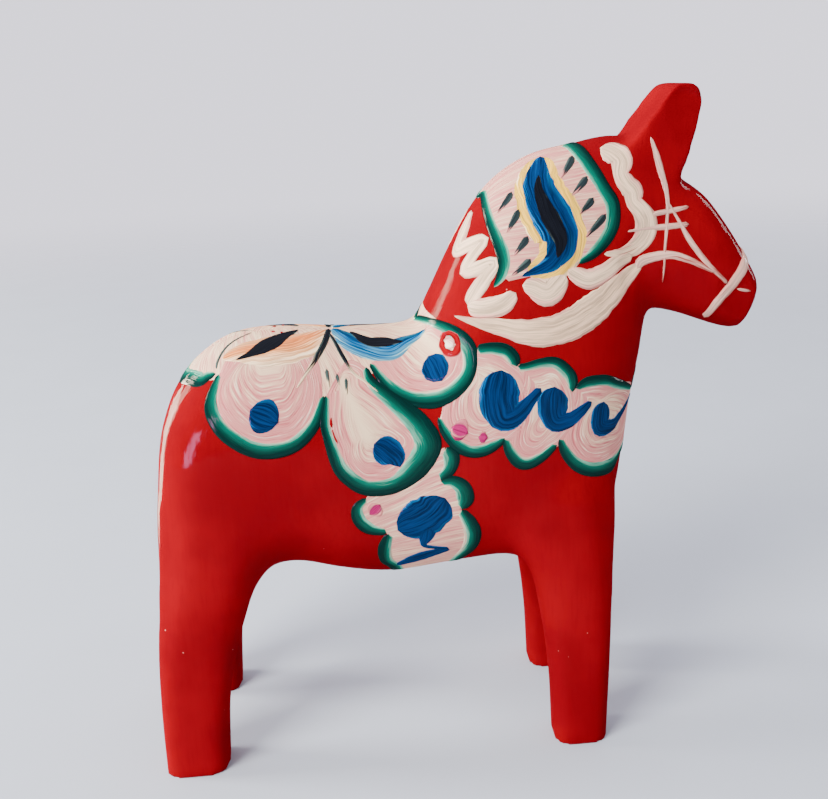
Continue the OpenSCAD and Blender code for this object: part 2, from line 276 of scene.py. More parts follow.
# Flats left by the knife: a point on the flat, its outward normal, and how far it reaches
KNIFE_FLATS = [
    ((51.5, 0, 108.7), (0.64, 0, 0.77), 9),
    ((60, 0, 85.1), (0.85, 0, -0.52), 7),
    ((46.2, 6.7, 124), (0.2, 0.98, 0.08), 7),
    ((-13, 14.5, 41.2), (0, 0.66, -0.75), 19),
    ((56, 7.9, 90), (0.28, 0.95, -0.12), 9),
    ((44, 10, 97), (0.05, 0.99, 0.1), 12),
    ((36, 10.4, 62), (0.78, 0.62, 0.06), 22),
]


def knife(points, place, normal, reach):
    """Planes off whatever stands out of a flat, fading to nothing at its reach."""
    place, normal = np.array(place, float), np.array(normal, float)
    normal /= np.linalg.norm(normal)
    away = np.linalg.norm(points - place, axis=1)
    fade = np.clip((reach - away) / (0.35 * reach), 0, 1)
    proud = np.clip((points - place) @ normal, 0, None) * fade
    return points - proud[:, None] * normal


def one_solid(bm):
    """The overlapping solids turned into one mesh of small, even faces."""
    horse = mesh_object("horse_carving", bm)
    rough = horse.data
    remesh = horse.modifiers.new("one solid", "REMESH")
    remesh.mode = "VOXEL"
    remesh.voxel_size = VOXEL
    graph = bpy.context.evaluated_depsgraph_get()
    solid = bpy.data.meshes.new_from_object(horse.evaluated_get(graph))
    horse.modifiers.clear()
    horse.data = solid
    bpy.data.meshes.remove(rough)
    return horse


def sanded(points, table, corners):
    """The points of the carving, sanded round, filled in at the leg tops and cut flat by the knife."""
    x, _, z = points.T
    ear_root = 121.5 - 0.9 * (x - 37)
    on_ear = np.clip((z - ear_root) / 3, 0, 1) * (x > 35)
    on_sole = np.clip((1.6 - z) / 1.6, 0, 1)
    on_leg = np.clip((34 - z) / 8, 0, 1)
    soft = np.clip(1 - 0.8 * on_ear - on_sole, 0.04, 1) * (1 - 0.45 * on_leg) * 0.6
    at_leg_top = np.clip(1 - (np.abs(z - 48) - 8) / 8, 0, 1)
    at_rump = np.clip((-52 - x) / 4, 0, 1) * np.clip(1 - np.abs(z - 53) / 16, 0, 1)
    for _ in range(SANDINGS):
        points = relax(points, table, soft)
    for _ in range(FILLINGS):
        points = fill(points, table, corners, at_leg_top)
    for _ in range(BLENDINGS):
        points = relax(points, table, np.maximum(at_leg_top * 0.5, at_rump))
    for place, normal, reach in KNIFE_FLATS:
        for side in ((1, -1) if normal[1] else (1,)):
            flip = np.array((1, side, 1))
            points = knife(points, flip * place, flip * normal, reach)
    for _ in range(LAST_SANDINGS):
        points = relax(points, table, soft * 0.7)
    return points


def carve():
    """The carved horse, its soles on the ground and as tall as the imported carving."""
    horse = one_solid(rough_carving())
    mesh = horse.data
    corners = read(mesh.polygons, "vertices", 4, int)
    points = sanded(read(mesh.vertices, "co", 3), neighbour_table(mesh), corners)
    points[:, 2] = np.maximum(points[:, 2], 0)
    low, high = points[:, 2].min(), points[:, 2].max()
    points[:, 2] = (points[:, 2] - low) * DESIGN_HEIGHT / (high - low)
    mesh.vertices.foreach_set("co", (points * MM).ravel())
    mesh.polygons.foreach_set("use_smooth", [True] * len(mesh.polygons))
    mesh.update()
    return horse


class Surface:
    """The carved surface, smooth between its mesh points, for brush strokes to lie on."""

    def __init__(self, horse):
        mesh = horse.data
        mesh.calc_loop_triangles()
        self.points = [v.co.copy() for v in mesh.vertices]
        self.normals = [v.normal.copy() for v in mesh.vertices]
        self.faces = [tuple(t.vertices) for t in mesh.loop_triangles]
        self.tree = BVHTree.FromPolygons(self.points, self.faces)

    def smooth(self, place, index):
        """The rounded place and normal at a place on one flat triangle of the mesh."""
        a, b, c = self.faces[index]
        pa, pb, pc = self.points[a], self.points[b], self.points[c]
        whole = (pb - pa).cross(pc - pa)
        area = whole.length_squared
        wa = (pb - place).cross(pc - place).dot(whole) / area
        wb = (pc - place).cross(pa - place).dot(whole) / area
        wc = 1 - wa - wb
        normal = (self.normals[a] * wa + self.normals[b] * wb + self.normals[c] * wc).normalized()
        rounded = Vector()
        for weight, corner in ((wa, a), (wb, b), (wc, c)):
            n = self.normals[corner]
            rounded += weight * (place - n * (place - self.points[corner]).dot(n))
        return place.lerp(rounded, ROUNDING), normal

    def nearest(self, place):
        hit, _, index, _ = self.tree.find_nearest(place)
        return self.smooth(hit, index)

    def cast(self, origin, direction):
        hit, _, index, _ = self.tree.ray_cast(origin, direction)
        if hit is None:
            hit, _, index, _ = self.tree.find_nearest(origin + direction * origin.length)
        return self.smooth(hit, index)[0]


horse = carve()
surface = Surface(horse)
FAR = 90 * MM


def spot(entry, side):
    """A point of a stroke on the horse, seen from the side, or from where the entry's last item says.

    An entry is (x, z, half width); (x, y, half width, "top") or "below"; or (y, z, half width, "front")
    or "back". The outline of a ground needs no half widths. y is the distance out from the middle plane.
    A stroke that crosses that plane is the right side's, and its "left" entries are on the other.
    """
    first, second = entry[0] * MM, entry[1] * MM
    origin, direction = {
        "side": ((first, side * FAR, second), (0, -side, 0)),
        "left": ((first, FAR, second), (0, -1, 0)),
        "top": ((first, side * second, 2 * FAR), (0, 0, -1)),
        "below": ((first, side * second, -FAR), (0, 0, 1)),
        "front": ((2 * FAR, side * first, second), (-1, 0, 0)),
        "back": ((-2 * FAR, side * first, second), (1, 0, 0)),
    }[entry[-1] if isinstance(entry[-1], str) else "side"]
    return surface.cast(Vector(origin), Vector(direction))


def placed(entries, side):
    """Rows of x, y, z and half width, in metres, from a list of entries."""
    return [(*spot(entry, side), entry[2] * MM) for entry in entries]


def outlined(entries, side):
    """Rows of x, y and z, in metres, from a list of entries."""
    return [tuple(spot(entry, side)) for entry in entries]


# ---- brush strokes as meshes

# In mm: how high each layer of paint stands, lowest first, and how deep its film goes into the wood
LAYERS = [0.05, 0.09, 0.13, 0.17, 0.21, 0.26, 0.30]
SUNK = 0.16
# In mm: the faces of a stroke and of a ground, and half the width of the thinnest line
BRISTLE_STEP, GROUND_STEP, THINNEST = 0.55, 0.7, 0.05
# Rings of faces from the outline of a petal to its focus
PETAL_RINGS = 20
# The bank at each edge of a stroke, as shares of its half width, and how far down the paint goes there
BANK_START, BANK_WIDTH, BANK_DROP = 0.72, 0.28, 0.65


class Film:
    """A skin of paint: rows of (place, normal, height in mm) and where each point is in the stroke.

    "paint" holds mm along and across the stroke, and "brush" runs from 0 to 1 both ways.
    """

    def __init__(self, closed=False, filled=False):
        self.rows, self.paint, self.brush = [], [], []
        self.closed, self.filled = closed, filled

    def add(self, row, paint, brush):
        self.rows.append(row)
        self.paint.append(paint)
        self.brush.append(brush)

    def close(self, step):
        """Gives a closed film the marks for its seam, one step on from its last row."""
        self.paint.append([(u + step, v) for u, v in self.paint[-1]])
        self.brush.append(self.brush[-1])

    def build(self, bm, paint_layer, brush_layer):
        rows, count, width = self.rows, len(self.rows), len(self.rows[0])
        top = [[bm.verts.new(p + n * h * MM) for p, n, h in row] for row in rows]
        under = [[bm.verts.new(p - n * SUNK * MM) for p, n, h in row] for row in rows]

        def face(corners, cells):
            made = bm.faces.new(corners)
            made.smooth = True
            for loop, (i, k) in zip(made.loops, cells):
                loop[paint_layer].uv = self.paint[i][k]
                loop[brush_layer].uv = self.brush[i][k]

        for i in range(count if self.closed else count - 1):
            j = (i + 1) % count
            for k in range(width - 1):
                cells = [(i, k), (i + 1, k), (i + 1, k + 1), (i, k + 1)]
                face((top[i][k], top[j][k], top[j][k + 1], top[i][k + 1]), cells)
                face((under[i][k + 1], under[j][k + 1], under[j][k], under[i][k]), cells[::-1])
            for k in (0,) if self.filled else (0, width - 1):
                cells = [(i, k), (i, k), (i + 1, k), (i + 1, k)]
                face((top[i][k], under[i][k], under[j][k], top[j][k]), cells)
        for i in () if self.closed else (0, count - 1):
            for k in range(width - 1):
                face((top[i][k], under[i][k], under[i][k + 1], top[i][k + 1]), [(i, k)] * 4)


def painted_mesh(name, films):
    bm = bmesh.new()
    layers = [bm.loops.layers.uv.new(layer) for layer in ("paint", "brush")]
    for film in films:
        film.build(bm, *layers)
    bmesh.ops.remove_doubles(bm, verts=bm.verts, dist=0.01 * MM)
    bmesh.ops.recalc_face_normals(bm, faces=bm.faces)
    return mesh_object(name, bm)


def round_end(distance, radius):
    """How much of the width is left near a round end of a stroke."""
    if radius <= 0 or distance >= radius:
        return 1.0
    return math.sqrt(max(0.0, 1 - (1 - distance / radius) ** 2))


def ribbon(draw, rows, layer, side, ends="oo", ragged=0.06, closed=False, spread=(-1, 1)):
    """One brush stroke along rows of x, y, z, half width.

    Its width runs from one side of the path to the other, spread[1] being the right-hand side
    as seen on the right of the horse. ends says which ends are round, "o", and which square, "-".
    """
    path, along = evenly(rows + rows[:1] if closed else rows, BRISTLE_STEP * MM)
    if closed:
        path, along = path[:-1], along[:-1]
    across = max(4, int(math.ceil((spread[1] - spread[0]) * path[:, 3].max() / (BRISTLE_STEP * MM))))
    centres = [surface.nearest(Vector(row[:3])) for row in path]
    count = len(path)
    wobble = [draw.uniform(-1, 1) for _ in range(count + 1)]
    start = draw.uniform(0, 300)
    film = Film(closed)
    for i, (place, normal) in enumerate(centres):
        ahead = centres[(i + 1) % count if closed else min(i + 1, count - 1)][0]
        behind = centres[i - 1 if closed else max(i - 1, 0)][0]
        sideways = (ahead - behind).cross(normal).normalized() * -side
        half = path[i][3]
        if not closed:
            half *= round_end(along[i], path[0][3]) if ends[0] == "o" else 1
            half *= round_end(along[-1] - along[i], path[-1][3]) if ends[1] == "o" else 1
        half = max(half * (1 + ragged * (wobble[i] + wobble[i + 1]) / 2), THINNEST * MM)
        row, paint_row, brush_row = [], [], []
        for k in range(across + 1):
            share = k / across
            v = spread[0] + (spread[1] - spread[0]) * share
            here, out = surface.nearest(place + sideways * v * half)
            bank = max(0.0, (abs(2 * share - 1) - BANK_START) / BANK_WIDTH) ** 2
            row.append((here, out, LAYERS[layer] * (1 - BANK_DROP * bank)))
            paint_row.append((along[i] / MM + start, v * path[i][3] / MM))
            brush_row.append((along[i] / along[-1], share))
        film.add(row, paint_row, brush_row)
    if closed:
        film.close(BRISTLE_STEP)
    return film


def petal(outline, focus, layer):
    """A petal filled with strokes that follow its outline, from the edge in to a short line, its focus.

    The paint starts thin at the outline and has its full height from GROUND_STEP in.
    """
    loop, along = evenly(outline + outline[:1], GROUND_STEP * MM)
    start, end = (Vector(row[:3]) for row in focus)
    film = Film(closed=True, filled=True)
    for point, gone in zip(loop[:-1], along):
        edge = Vector(point[:3])
        share = (edge - start).dot(end - start) / (end - start).length_squared
        middle = start.lerp(end, min(max(share, 0), 1))
        reach = (middle - edge).length / MM
        shares = [k / PETAL_RINGS for k in range(PETAL_RINGS + 1)]
        spots = [surface.nearest(edge.lerp(middle, share)) for share in shares]
        rises = [0.3 + 0.7 * min(1, share * reach / GROUND_STEP) for share in shares]
        film.add([(here, out, LAYERS[layer] * rise) for (here, out), rise in zip(spots, rises)],
                 [(gone / MM, share * reach) for share in shares],
                 [(gone / along[-1], share) for share in shares])
    film.close(GROUND_STEP)
    return film


def sheet(lines, layer):
    """A patch of paint across two or more lines of rows of x, y, z."""
    count = int(max(evenly(rows, MM)[1][-1] for rows in lines) / MM / GROUND_STEP)
    film = Film()
    threads = [resampled(rows, count) for rows in lines]
    width = max(np.linalg.norm(b - a) for a, b in zip(threads[0], threads[-1]))
    across = int(width / MM / GROUND_STEP) + 4
    for i, knots in enumerate(zip(*threads)):
        crossing, gone = evenly(list(knots), 0.2 * MM)
        shares = [k / across for k in range(across + 1)]
        places = [[np.interp(share * gone[-1], gone, crossing[:, c]) for c in range(3)] for share in shares]
        spots = [surface.nearest(Vector(place)) for place in places]
        film.add([(here, out, LAYERS[layer]) for here, out in spots],
                 [(share * gone[-1] / MM, i * GROUND_STEP) for share in shares],
                 [(share, i / (count - 1)) for share in shares])
    return film


def resampled(rows, count):
    """So many points along a curve, an even distance apart."""
    points, along = evenly(rows, 0.3 * MM)
    wanted = np.linspace(0, along[-1], count)
    return np.stack([np.interp(wanted, along, points[:, c]) for c in range(3)], axis=1)


# ---- materials

class Shader:
    """A material being built from nodes; each method adds one node and returns its output."""

    def __init__(self, name):
        self.material = bpy.data.materials.new(name)
        self.material.use_nodes = True
        self.tree = self.material.node_tree
        self.surface = self.tree.nodes["Principled BSDF"]
        self.set("Roughness", 0.5)
        self.set("Specular IOR Level", 0)
        self.set("Coat Weight", 0.025)
        self.set("Coat IOR", 3)
        self.set("Coat Roughness", 0.1)

    def plug(self, value, socket):
        if isinstance(value, bpy.types.NodeSocket):
            self.tree.links.new(value, socket)
        else:
            socket.default_value = value

    def set(self, name, value):
        self.plug(value, self.surface.inputs[name])

    def node(self, kind, inputs=(), **settings):
        made = self.tree.nodes.new("ShaderNode" + kind)
        for key, value in settings.items():
            setattr(made, key, value)
        for key, value in dict(inputs).items():
            self.plug(value, made.inputs[key])
        return made

    def math(self, operation, *values, clamp=False):
        return self.node("Math", enumerate(values), operation=operation, use_clamp=clamp).outputs[0]

    def range(self, value, low, high, to_low=0, to_high=1):
        inputs = {"Value": value, "From Min": low, "From Max": high, "To Min": to_low, "To Max": to_high}
        return self.node("MapRange", inputs, interpolation_type="SMOOTHSTEP").outputs[0]

    def mix(self, share, one, two):
        inputs = {0: share, 6: one, 7: two}
        return self.node("Mix", inputs, data_type="RGBA").outputs[2]

    def noise(self, vector, scale, detail):
        inputs = {"Vector": vector, "Scale": scale, "Detail": detail, "Roughness": 0.55}
        return self.node("TexNoise", inputs).outputs["Fac"]

    def uv(self, name):
        split = self.node("SeparateXYZ", {0: self.node("UVMap", uv_map=name).outputs[0]})
        return split.outputs[0], split.outputs[1]

    def vector(self, x, y, z=0):
        return self.node("CombineXYZ", {0: x, 1: y, 2: z}).outputs[0]

    def ramp(self, value, stops):
        ramp = self.node("ValToRGB", {0: value})
        elements = ramp.color_ramp.elements
        while len(elements) < len(stops):
            elements.new(0.5)
        for element, (place, colour) in zip(elements, stops):
            element.position = place
            element.color = colour
        return ramp.outputs[0]

    def bump(self, height, strength, distance_mm):
        inputs = {"Height": height, "Strength": strength, "Distance": distance_mm * MM}
        return self.node("Bump", inputs).outputs[0]


# Height of the ridges that the bristles leave, in mm
STROKE_RELIEF, GROUND_RELIEF = 0.16, 0.2


def brushwork(shader, seed):
    """The marks of the brush along a stroke: single hairs, strands of hairs, and broad bands."""
    u, v = shader.uv("paint")
    sway = shader.noise(shader.vector(shader.math("MULTIPLY", u, 0.12), seed), 1, 1)
    v = shader.math("ADD", v, shader.math("MULTIPLY", sway, 1.6))
    marks = []
    for along, across, detail in ((0.14, 3.4, 2), (0.1, 1.35, 3), (0.05, 0.45, 2)):
        place = shader.vector(shader.math("MULTIPLY", u, along), shader.math("MULTIPLY", v, across), seed)
        marks.append(shader.math("SUBTRACT", shader.noise(place, 1, detail), 0.5))
    return marks


def blended(shader, marks, shares):
    """The marks of the brush added up, each with its share."""
    total = shader.math("MULTIPLY", marks[0], shares[0])
    for mark, share in zip(marks[1:], shares[1:]):
        total = shader.math("MULTIPLY_ADD", mark, share, total)
    return total


def relief(shader, marks, depth):
    """Ridges of paint between the hairs, partly levelled by the varnish over them."""
    height = blended(shader, marks, (1, 0.9, 0.5))
    shader.set("Normal", shader.bump(height, 1, depth))
    shader.set("Coat Normal", shader.bump(height, 0.6, depth))


def stroke_paint(name, stops, seed, streaks=0.5, hairs=0.5, thin=0, dry=None, under=RED):
    """Paint from a loaded brush.

    stops run across the stroke and streaks break them up; hairs is how much the tone varies from
    hair to hair; thin lets the colour under it show between them, and dry=(start, end, amount)
    does that along the stroke.
    """
    shader = Shader(name)
    marks = brushwork(shader, seed)
    length, across = shader.uv("brush")
    shift = blended(shader, marks, (0.7 * streaks, 1.3 * streaks, 0.8 * streaks))
    colour = shader.ramp(shader.math("ADD", across, shift, clamp=True), stops)
    grain = blended(shader, marks, (1, 0.7))
    tone = shader.range(grain, -0.22, 0.22, 1 - 0.55 * hairs, 1 + 0.75 * hairs)
    colour = shader.node("HueSaturation", {"Value": tone, "Color": colour}).outputs[0]
    if dry or thin:
        worn = shader.range(length, dry[0], dry[1], 0, dry[2]) if dry else 0
        gaps = shader.math("ADD", worn, blended(shader, marks, (0.9, 0.9)))
        colour = shader.mix(shader.range(gaps, 0.36 - thin, 0.6 - thin, 0, 0.85), colour, under)
    shader.set("Base Color", colour)
    relief(shader, marks, STROKE_RELIEF)
    return shader.material


def rims(edge, middle, rim=0.12):
    """One colour in the middle of a stroke and another along both its edges."""
    return [(0, edge), (rim, middle), (1 - rim, middle), (1, edge)]


def ground_paint(name, seed, pinkness, inward):
    """A ground of pink and cream mixed on the brush; inward makes it pinker towards the outline."""
    shader = Shader(name)
    marks = brushwork(shader, seed)
    _, depth = shader.uv("brush")
    base = shader.math("MULTIPLY_ADD", depth, 1.1, 0.5 - pinkness) if inward else 1 - pinkness
    clear = shader.range(depth, 0.97, 0.55, 0.1, 0.8) if inward else 0.6
    if inward:
        marks = [shader.math("MULTIPLY", mark, shader.range(depth, 1, 0.8)) for mark in marks]
    blend = shader.math("MULTIPLY_ADD", blended(shader, marks, (1.9, 1.9, 1.2)), clear, base)
    colour = shader.mix(shader.range(blend, 0, 0.9), PINK, CREAM)
    lines = shader.math("MULTIPLY", blended(shader, marks, (1, 0.5)), clear)
    colour = shader.mix(shader.range(lines, -0.06, -0.18, 0, 0.7), colour, ROSE)
    colour = shader.mix(shader.range(lines, 0.06, 0.18, 0, 0.5), colour, IVORY)
    shader.set("Base Color", colour)
    relief(shader, marks, GROUND_RELIEF)
    return shader.material


def red_lacquer():
    """Red brushed on lengthwise, a little cloudy and uneven, with dust caught in the varnish."""
    shader = Shader("red lacquer")
    place = shader.node("TexCoord").outputs["Object"]
    scaled = shader.node("Mapping", {"Vector": place, "Scale": (1 / MM,) * 3}).outputs[0]
    split = shader.node("SeparateXYZ", {0: scaled})
    lengthwise = shader.vector(*(shader.math("MULTIPLY", split.outputs[k], scale)
                                 for k, scale in enumerate((1.6, 1.6, 0.16))))
    brushed = shader.noise(lengthwise, 1, 3)
    cloudy = shader.noise(scaled, 0.045, 3)
    uneven = shader.noise(lengthwise, 0.35, 2)
    speckle = shader.noise(scaled, 1.3, 2)
    colour = shader.mix(shader.range(cloudy, 0.35, 0.65, 0, 0.6), RED, DEEP_RED)
    colour = shader.mix(shader.range(brushed, 0.45, 0.75, 0, 0.2), colour, DEEP_RED)
    dust = shader.node("TexVoronoi", {"Vector": scaled, "Scale": 0.14, "Randomness": 1})
    colour = shader.mix(shader.range(dust.outputs["Distance"], 0.022, 0.014), colour, DUST)
    shader.set("Base Color", colour)
    shader.set("Coat Weight", 0.012)
    shader.set("Coat Roughness", 0.05)
    height = blended(shader, (speckle, brushed, uneven), (0.1, 0.2, 0.8))
    shader.set("Normal", shader.bump(height, 1, 0.06))
    shader.set("Coat Normal", shader.bump(height, 1, 0.1))
    return shader.material


# ---- painting the horse

def paint(piece, node, slot, material):
    """Makes a piece visible in place of its node."""
    piece.data.materials.append(material)
    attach(piece, "root")
    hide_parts(node)


def seed_of(name):
    """A place in the noise, so that no two pieces have the same brush marks."""
    return random.Random(name).uniform(0, 50)


def stroke_piece(name, node, slot, layer, paths, side, **looks):
    """One piece: a stroke along each path, all in one paint."""
    shape = {key: looks.pop(key) for key in ("ends", "ragged", "closed", "spread") if key in looks}
    draw = random.Random(name)
    films = [ribbon(draw, placed(path, side), layer, side, **shape) for path in paths]
    material = stroke_paint(name.replace("_", " "), seed=seed_of(name), **looks)
    paint(painted_mesh(name, films), node, slot, material)


def strokes(node, slot, layer, paths, stops, part="", **looks):
    """The same strokes on both sides of the horse, one piece for each side."""
    for side, side_name in SIDES:
        stroke_piece(f"{node}{part}_{side_name}", node, slot, layer, paths, side, stops=stops, **looks)


def border(node, *paths, layer=3):
    """Green borders, dark on the right-hand side of each path and pale inside."""
    strokes(node, "green_paint", layer, paths, spread=(-1.7, 1), ragged=0.03, **BORDER)


def middle_border(node, layer, path, part="", spread=(-1.7, 1)):
    """A green border that crosses the middle plane."""
    stroke_piece(node + part, node, "green_paint", layer, [path], RIGHT, spread=spread, **BORDER)


def ground(node, part, films_of, pinkness, inward):
    """A cream and pink ground; films_of(side) gives the films for one side."""
    for side, side_name in SIDES:
        name = f"{node}{part}_{side_name}"
        material = ground_paint(name.replace("_", " "), seed_of(name), pinkness, inward)
        paint(painted_mesh(name, films_of(side)), node, "cream_paint", material)


def patch(node, lines, pinkness, layer=0, part=""):
    """A ground spread across two lines of entries."""
    ground(node, part, lambda side: [sheet([outlined(line, side) for line in lines], layer)],
           pinkness, inward=False)


def petals(node, fills, pinkness, part):
    """A ground of petals, from an outline, a focus and a layer for each."""
    ground(node, part, lambda side: [petal(outlined(rim, side), outlined(focus, side), layer)
                                     for rim, focus, layer in fills], pinkness, inward=True)


# What several kinds of stroke share: colours from one edge to the other, and how the paint lies
BORDER = {"stops": [(0, srgb(206, 180, 152)), (0.08, MINT), (0.28, GREEN), (0.5, srgb(0, 64, 52)),
                    (0.75, GREEN_DARK)], "streaks": 0.5, "hairs": 0.35}
BLUE_DABS = {"stops": rims(SKY, BLUE, 0.1), "streaks": 0.3, "hairs": 0.9}
PINK_DABS = {"stops": rims(PINK, ORCHID, 0.2), "streaks": 0.9, "thin": 0.1, "under": PINK}
BRIDLE = {"stops": rims(srgb(200, 134, 120), srgb(208, 164, 144), 0.25), "thin": 0.28}

paint(horse, "pine_carving", "red_lacquer", red_lacquer())

# Mane panel
MANE_REAR = [
    (7.5, 0, 0.6, "top"), (8.2, 111, 0.7), (8.6, 106, 0.8), (10, 101.3, 1), (9.7, 98, 0.8),
    (8.2, 95.5, 0.2),
]
MANE_FRONT = [
    (24.3, 98.9, 0.3), (27.3, 100.3, 0.8), (30.3, 102.9, 1), (31.7, 105.7, 1.1), (31.7, 109.2, 1.1),
    (30, 112.5, 1), (27.6, 117, 1.1), (25.5, 0, 1.2, "top"),
]
MANE_LEAF = [
    (19.3, 117.8, 0.8), (17.9, 114, 3), (18.4, 110.7, 3.8), (20, 107, 4.4), (21.2, 103.3, 3.6),
    (20.3, 100.9, 2.7), (18.3, 99, 1.6), (13.4, 97.3, 0.2),
]
patch("mane_panel_ground", [MANE_REAR[:-1] + [(11, 96.5)], MANE_FRONT[:0:-1] + [(22.5, 98.2)]], 0.75,
      layer=1)
border("mane_rear_border", MANE_REAR)
border("mane_front_border", MANE_FRONT)
halo = [(x, z, half + 1.7) for x, z, half in MANE_LEAF[:-1]] + [(14.4, 97.8, 0.9)]
strokes("mane_yellow_leaf", "yellow_paint", 2, [halo], rims(CREAM, YELLOW, 0.06), streaks=0.2)
strokes("mane_blue_leaf", "blue_paint", 3, [MANE_LEAF], rims(SKY, BLUE, 0.2), streaks=0.6, hairs=0.9)
strokes("mane_black_leaf", "black_paint", 4, [
    [(18.2, 114.7, 0.3), (17.8, 112.3, 1), (18.6, 109.3, 1.7), (20, 106, 2.1), (21, 103, 1.5),
     (20.2, 100.2, 0.3)],
], rims(GREY, BLACK, 0.08))
MANE_DASHES = [
    ((25, 117.8), (22, 114)), ((27, 114.2), (23.8, 111)), ((27.8, 110.4), (25, 107.7)),
    ((30, 107.3), (25.8, 103.5)), ((13, 112), (10.1, 108.4)), ((13.8, 109), (11.3, 105)),
    ((15, 104.3), (12.2, 101)), ((15.2, 100.3), (11.5, 97.4)),
]
strokes("mane_dashes", "black_paint", 4,
        [[(*a, 0.5), ((2 * a[0] + b[0]) / 3 + 0.2, (2 * a[1] + b[1]) / 3, 0.75), (*b, 0.2)]
         for a, b in MANE_DASHES],
        rims(GREY, srgb(30, 40, 42), 0.35), dry=(0.4, 1, 0.5), thin=0.05, under=PINK)

# Neck
strokes("neck_garland_front", "white_paint", 2, [
    [(30.4, 119, 1.6), (32.2, 118.4, 2.6), (33.8, 116.8, 2.3), (33.4, 114.4, 1.5), (34.2, 112.8, 1.8),
     (35.5, 111, 2), (35.6, 109.2, 1.5), (37, 107.4, 1.8), (38, 105.2, 2.3), (37.8, 102.8, 2.2),
     (36, 100.8, 1.8), (33.3, 99.9, 1.1), (29.4, 100.1, 0.3)],
], rims(ROSE_WHITE, WHITE, 0.2), thin=0.1, dry=(0.35, 0.8, 0.22))
strokes("neck_garland_lower", "white_paint", 3, [
    [(35.3, 99, 0.8), (32.2, 98.3, 1.5), (29.2, 96.6, 1.8), (26.1, 95.8, 1.9), (23.4, 97, 1.4),
     (22.1, 97.9, 0.6)],
    [(13.4, 95.7, 0.8), (15.4, 95.3, 2), (18, 94.3, 2.9), (20.4, 95.7, 1.9), (21.6, 97, 0.7)],
    [(3.3, 92.1, 1.5), (5.8, 91.8, 1.9), (9.4, 92.3, 1.9), (12.1, 94.4, 1.1)],
], rims(ROSE_WHITE, WHITE, 0.2), thin=0.14)
strokes("neck_garland_rear", "white_paint", 2, [
    [(6, 108.3, 1), (4.2, 105, 2), (2.8, 101.8, 2), (4.8, 102.7, 1.6), (7.2, 103.6, 1.2), (5.1, 101, 1.3),
     (3.5, 98.3, 1.5), (5.6, 98.6, 1.5), (8.6, 99.7, 1.2), (6.8, 97, 1.4), (4.8, 94.5, 1.5),
     (3.3, 92.3, 1.2)],
], rims(ROSE_WHITE, WHITE, 0.12), thin=0.05)
strokes("neck_crescent", "white_paint", 2, [
    [(0.9, 90.2, 0.2), (4.3, 89.4, 0.8), (8.8, 88.4, 1.6), (15.4, 87, 2.6), (21.6, 87.7, 3), (27, 90.2, 3.1),
     (31.4, 93.2, 2.4), (34.8, 95.7, 1.5), (37.1, 97.3, 0.7)],
], rims(ROSE_WHITE, srgb(214, 178, 144), 0.12), dry=(0.3, 0.0, 0.35), thin=0.16)

# Bridle
strokes("bridle_cheek_line", "white_paint", 3, [
    [(39.5, 120.6, 0.2), (40.7, 117, 0.6), (41.8, 112.5, 0.65), (42.3, 108.8, 0.4), (42.2, 103.4, 0.3),
     (41.8, 99, 0.25), (41.6, 93.4, 0.1)],
], dry=(0.5, 1, 0.2), **BRIDLE)
strokes("bridle_brow_lines", "white_paint", 3, [
    [(39.2, 106.6, 0.5), (43, 107, 0.5), (46.6, 107.4, 0.4)],
    [(34.3, 103.8, 0.2), (38, 104, 0.4), (42, 104, 0.6), (46.6, 104.2, 0.45)],
], dry=(0.4, 1, 0.2), **BRIDLE)
strokes("bridle_face_line", "white_paint", 4, [
    [(42.5, 108.4, 0.2), (44.6, 105, 0.3), (47, 100.8, 0.55), (50.3, 96.5, 0.5), (54.6, 92.2, 0.4)],
    [(57, 90.8, 0.2), (58.4, 90.4, 0.3), (60, 90, 0.2)],
], dry=(0.4, 1, 0.2), **BRIDLE)
strokes("bridle_jaw_line", "white_paint", 4, [
    [(36.3, 96.6, 0.7), (37.5, 98, 1), (42.2, 98.7, 0.8), (46.3, 97.6, 0.65), (51.8, 94.7, 0.35)],
], dry=(0.4, 1, 0.2), **BRIDLE)
strokes("noseband", "white_paint", 5, [
    [(59.8, 0, 1.3, "top"), (59.4, 4, 1.3, "top"), (57.9, 94.6, 1.2), (55.7, 91.7, 1.1), (52.8, 88.6, 0.9),
     (51.1, 85.4, 0.7)],
], ends="-o", **BRIDLE)

# Saddle
HIND_BORDER = [
    (-44.1, 81.8, 0.4), (-46, 77, 1), (-44.2, 72.6, 1.1), (-40, 69.2, 1.2), (-35.7, 67.9, 1.2),
    (-30.6, 68.8, 1.1), (-26.5, 72.5, 0.9), (-24.7, 77.2, 0.3),
]
MIDDLE_BORDER = [
    (-24.3, 77.2, 0.4), (-25, 73, 0.7), (-24.5, 69.4, 0.8), (-23, 64.1, 1.1), (-20.9, 61.1, 1.2),
    (-17.8, 59, 1.2), (-13.7, 58.9, 1.3), (-10.5, 60.3, 1.5), (-7.3, 63.1, 1.9), (-5.2, 67, 2),
    (-6.3, 70.5, 1.8), (-9.1, 73.7, 1.5), (-12.7, 76.7, 1.2), (-15.5, 79, 0.8), (-16.4, 81.2, 0.4),
]
FORE_BORDER = [
    (-15.6, 81.7, 0.4), (-13.1, 78.4, 0.8), (-9.5, 76, 0.9), (-5.7, 75, 1.3), (-1.9, 75.7, 1.3),
    (1.1, 77.8, 1.2), (3, 80.6, 1.1), (3.3, 84.1, 1.1), (2.4, 86.2, 1.1), (0.1, 87.9, 0.9),
    (-3.2, 88.6, 0.6), (-5.6, 0, 0.6, "top"),
]
patch("saddle_ground", [
    [(0, 79, "back"), (-48.7, 80.4), (-45, 81), (-36, 80), (-26, 76.5), (-16, 80), (-8, 82), (-1, 87.5),
     (-4, 0, "top")],
    [(x, 0, "top") for x in (-53, -40, -24, -10, -5)],
], 0.45, part="_back")
